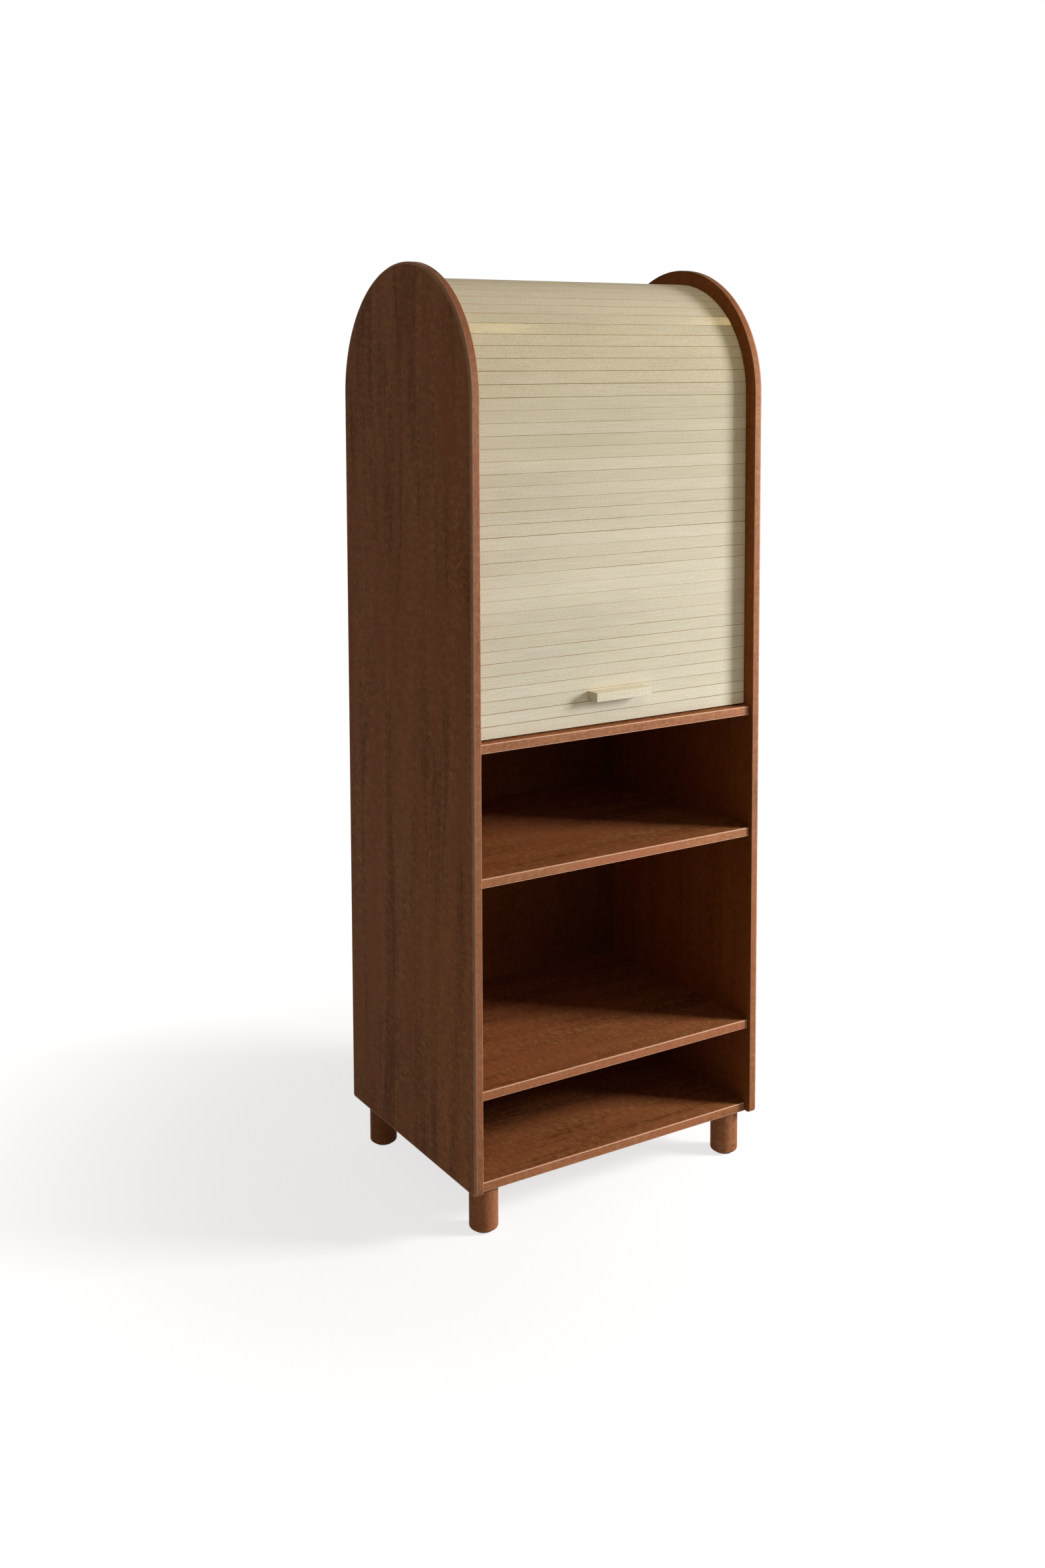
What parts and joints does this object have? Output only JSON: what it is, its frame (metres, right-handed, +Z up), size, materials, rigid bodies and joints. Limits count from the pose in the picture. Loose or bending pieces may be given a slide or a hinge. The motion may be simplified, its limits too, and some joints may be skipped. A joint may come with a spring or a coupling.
{
  "type": "tambour cabinet",
  "caption": "Tall wooden cabinet with capsule topped sides, a slatted roll shutter that lifts over the arch, open bays below and short turned legs.",
  "frame": {"origin": "on the floor under the middle of the cabinet", "axes": "+X to the right seen from the front, +Y to the back, +Z up; the curtain faces -Y"},
  "size_m": [0.58, 0.44, 1.572],
  "materials": {
    "stained_wood": "brown stain under satin lacquer",
    "cream_slat": "cream satin lacquer",
    "canvas": "plain woven cotton, glued",
    "beech": "bare, fluted",
    "zinc_steel": "zinc plated",
    "felt": "pressed felt"
  },
  "bodies": {
    "carcass": {"side_panel_left": "stained_wood", "side_panel_right": "stained_wood", "bottom_panel": "stained_wood", "lower_shelf": "stained_wood", "upper_shelf": "stained_wood", "compartment_floor": "stained_wood", "top_stretcher": "stained_wood", "back_panel": "stained_wood", "false_back": "stained_wood", "dowel_bottom_panel_left_front": "beech", "dowel_bottom_panel_left_rear": "beech", "dowel_bottom_panel_right_front": "beech", "dowel_bottom_panel_right_rear": "beech", "dowel_lower_shelf_left_front": "beech", "dowel_lower_shelf_left_rear": "beech", "dowel_lower_shelf_right_front": "beech", "dowel_lower_shelf_right_rear": "beech", "dowel_upper_shelf_left_front": "beech", "dowel_upper_shelf_left_rear": "beech", "dowel_upper_shelf_right_front": "beech", "dowel_upper_shelf_right_rear": "beech", "dowel_compartment_floor_left_front": "beech", "dowel_compartment_floor_left_rear": "beech", "dowel_compartment_floor_right_front": "beech", "dowel_compartment_floor_right_rear": "beech", "dowel_top_stretcher_left_front": "beech", "dowel_top_stretcher_left_rear": "beech", "dowel_top_stretcher_right_front": "beech", "dowel_top_stretcher_right_rear": "beech", "leg_front_left": "stained_wood", "leg_front_right": "stained_wood", "leg_rear_left": "stained_wood", "leg_rear_right": "stained_wood", "leg_bolt_front_left": "zinc_steel", "leg_bolt_front_right": "zinc_steel", "leg_bolt_rear_left": "zinc_steel", "leg_bolt_rear_right": "zinc_steel", "glide_front_left": "felt", "glide_front_right": "felt", "glide_rear_left": "felt", "glide_rear_right": "felt", "front_curtain": "cream_slat", "arch_curtain": "cream_slat", "closing_pad_left": "felt", "closing_pad_right": "felt", "tail_buffer_left": "felt", "tail_buffer_right": "felt"},
    "lead": {"lead_slat_1": "cream_slat", "lead_slat_2": "cream_slat", "lead_slat_3": "cream_slat", "lead_canvas": "canvas", "handle": "cream_slat", "handle_screw_1": "zinc_steel", "handle_screw_2": "zinc_steel"},
    "tail": {"tail_slat_1": "cream_slat", "tail_slat_2": "cream_slat", "tail_canvas": "canvas"}
  },
  "joints": [
    {"name": "curtain_lift", "type": "slide", "parent": "carcass", "child": "lead", "axis": [0, 0, 1], "range_m": [0, 0.475], "deforming": ["front_curtain"]},
    {"name": "tail_drop", "type": "slide", "parent": "carcass", "child": "tail", "axis": [0, 0, -1], "range_m": [0, 0.475]}
  ],
  "couplings": [
    {"joint": "tail_drop", "follows": "curtain_lift", "ratio": 1}
  ]
}
